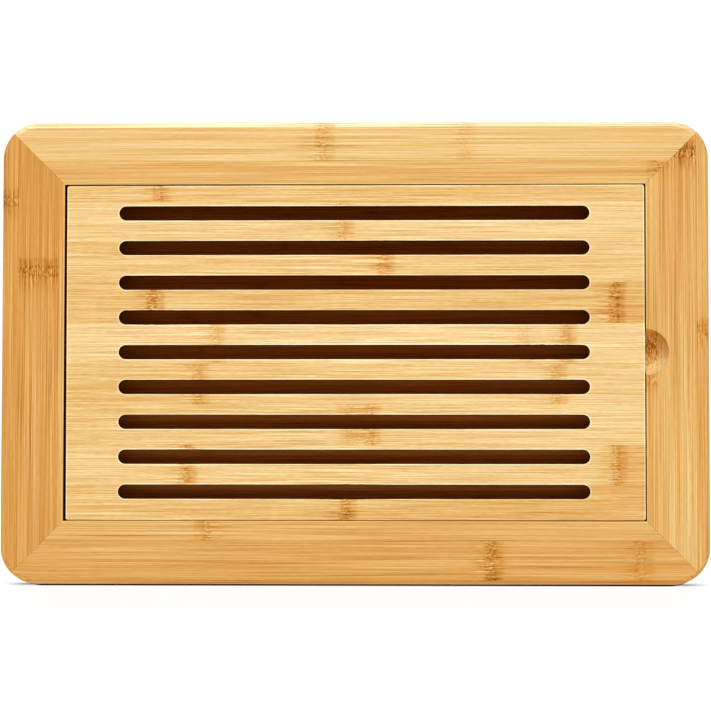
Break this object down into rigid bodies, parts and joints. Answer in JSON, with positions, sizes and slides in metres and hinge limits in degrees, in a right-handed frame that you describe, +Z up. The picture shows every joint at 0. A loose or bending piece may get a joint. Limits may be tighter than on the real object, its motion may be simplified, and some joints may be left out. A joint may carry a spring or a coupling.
{
  "type": "bread board with crumb catcher",
  "caption": "Rectangular bamboo bread board: a mitred frame tray with round corners and a finger notch, and a slotted insert that lifts out so that caught crumbs can be emptied.",
  "frame": {"origin": "on the surface that the board stands on, under the middle of the board", "axes": "+X along the board's length, towards the finger notch; +Y towards the rear rail; +Z up out of the cutting face"},
  "size_m": [0.406, 0.2656, 0.028],
  "materials": {
    "frame_bamboo": "satin oiled bamboo, warm orange-brown, fine straight grain",
    "insert_bamboo": "satin oiled bamboo, pale straw, staves of slightly different tone",
    "floor_bamboo": "plain sanded bamboo panel",
    "batten_bamboo": "plain sanded bamboo",
    "tongue_beech": "raw pressed beech"
  },
  "bodies": {
    "tray": {"rear_rail": "frame_bamboo", "front_rail": "frame_bamboo", "left_rail": "frame_bamboo", "right_rail": "frame_bamboo", "mitre_tongue_rear_left": "tongue_beech", "mitre_tongue_rear_right": "tongue_beech", "mitre_tongue_front_left": "tongue_beech", "mitre_tongue_front_right": "tongue_beech", "tray_floor": "floor_bamboo", "left_batten": "batten_bamboo", "right_batten": "batten_bamboo"},
    "insert": {"insert_stave_1": "insert_bamboo", "insert_stave_2": "insert_bamboo", "insert_stave_3": "insert_bamboo", "insert_stave_4": "insert_bamboo", "insert_stave_5": "insert_bamboo", "insert_stave_6": "insert_bamboo", "insert_stave_7": "insert_bamboo", "insert_stave_8": "insert_bamboo", "insert_stave_9": "insert_bamboo"}
  },
  "joints": [
    {"name": "insert_lift", "type": "slide", "parent": "tray", "child": "insert", "axis": [0, 0, 1], "range_m": [0, 0.05]}
  ]
}
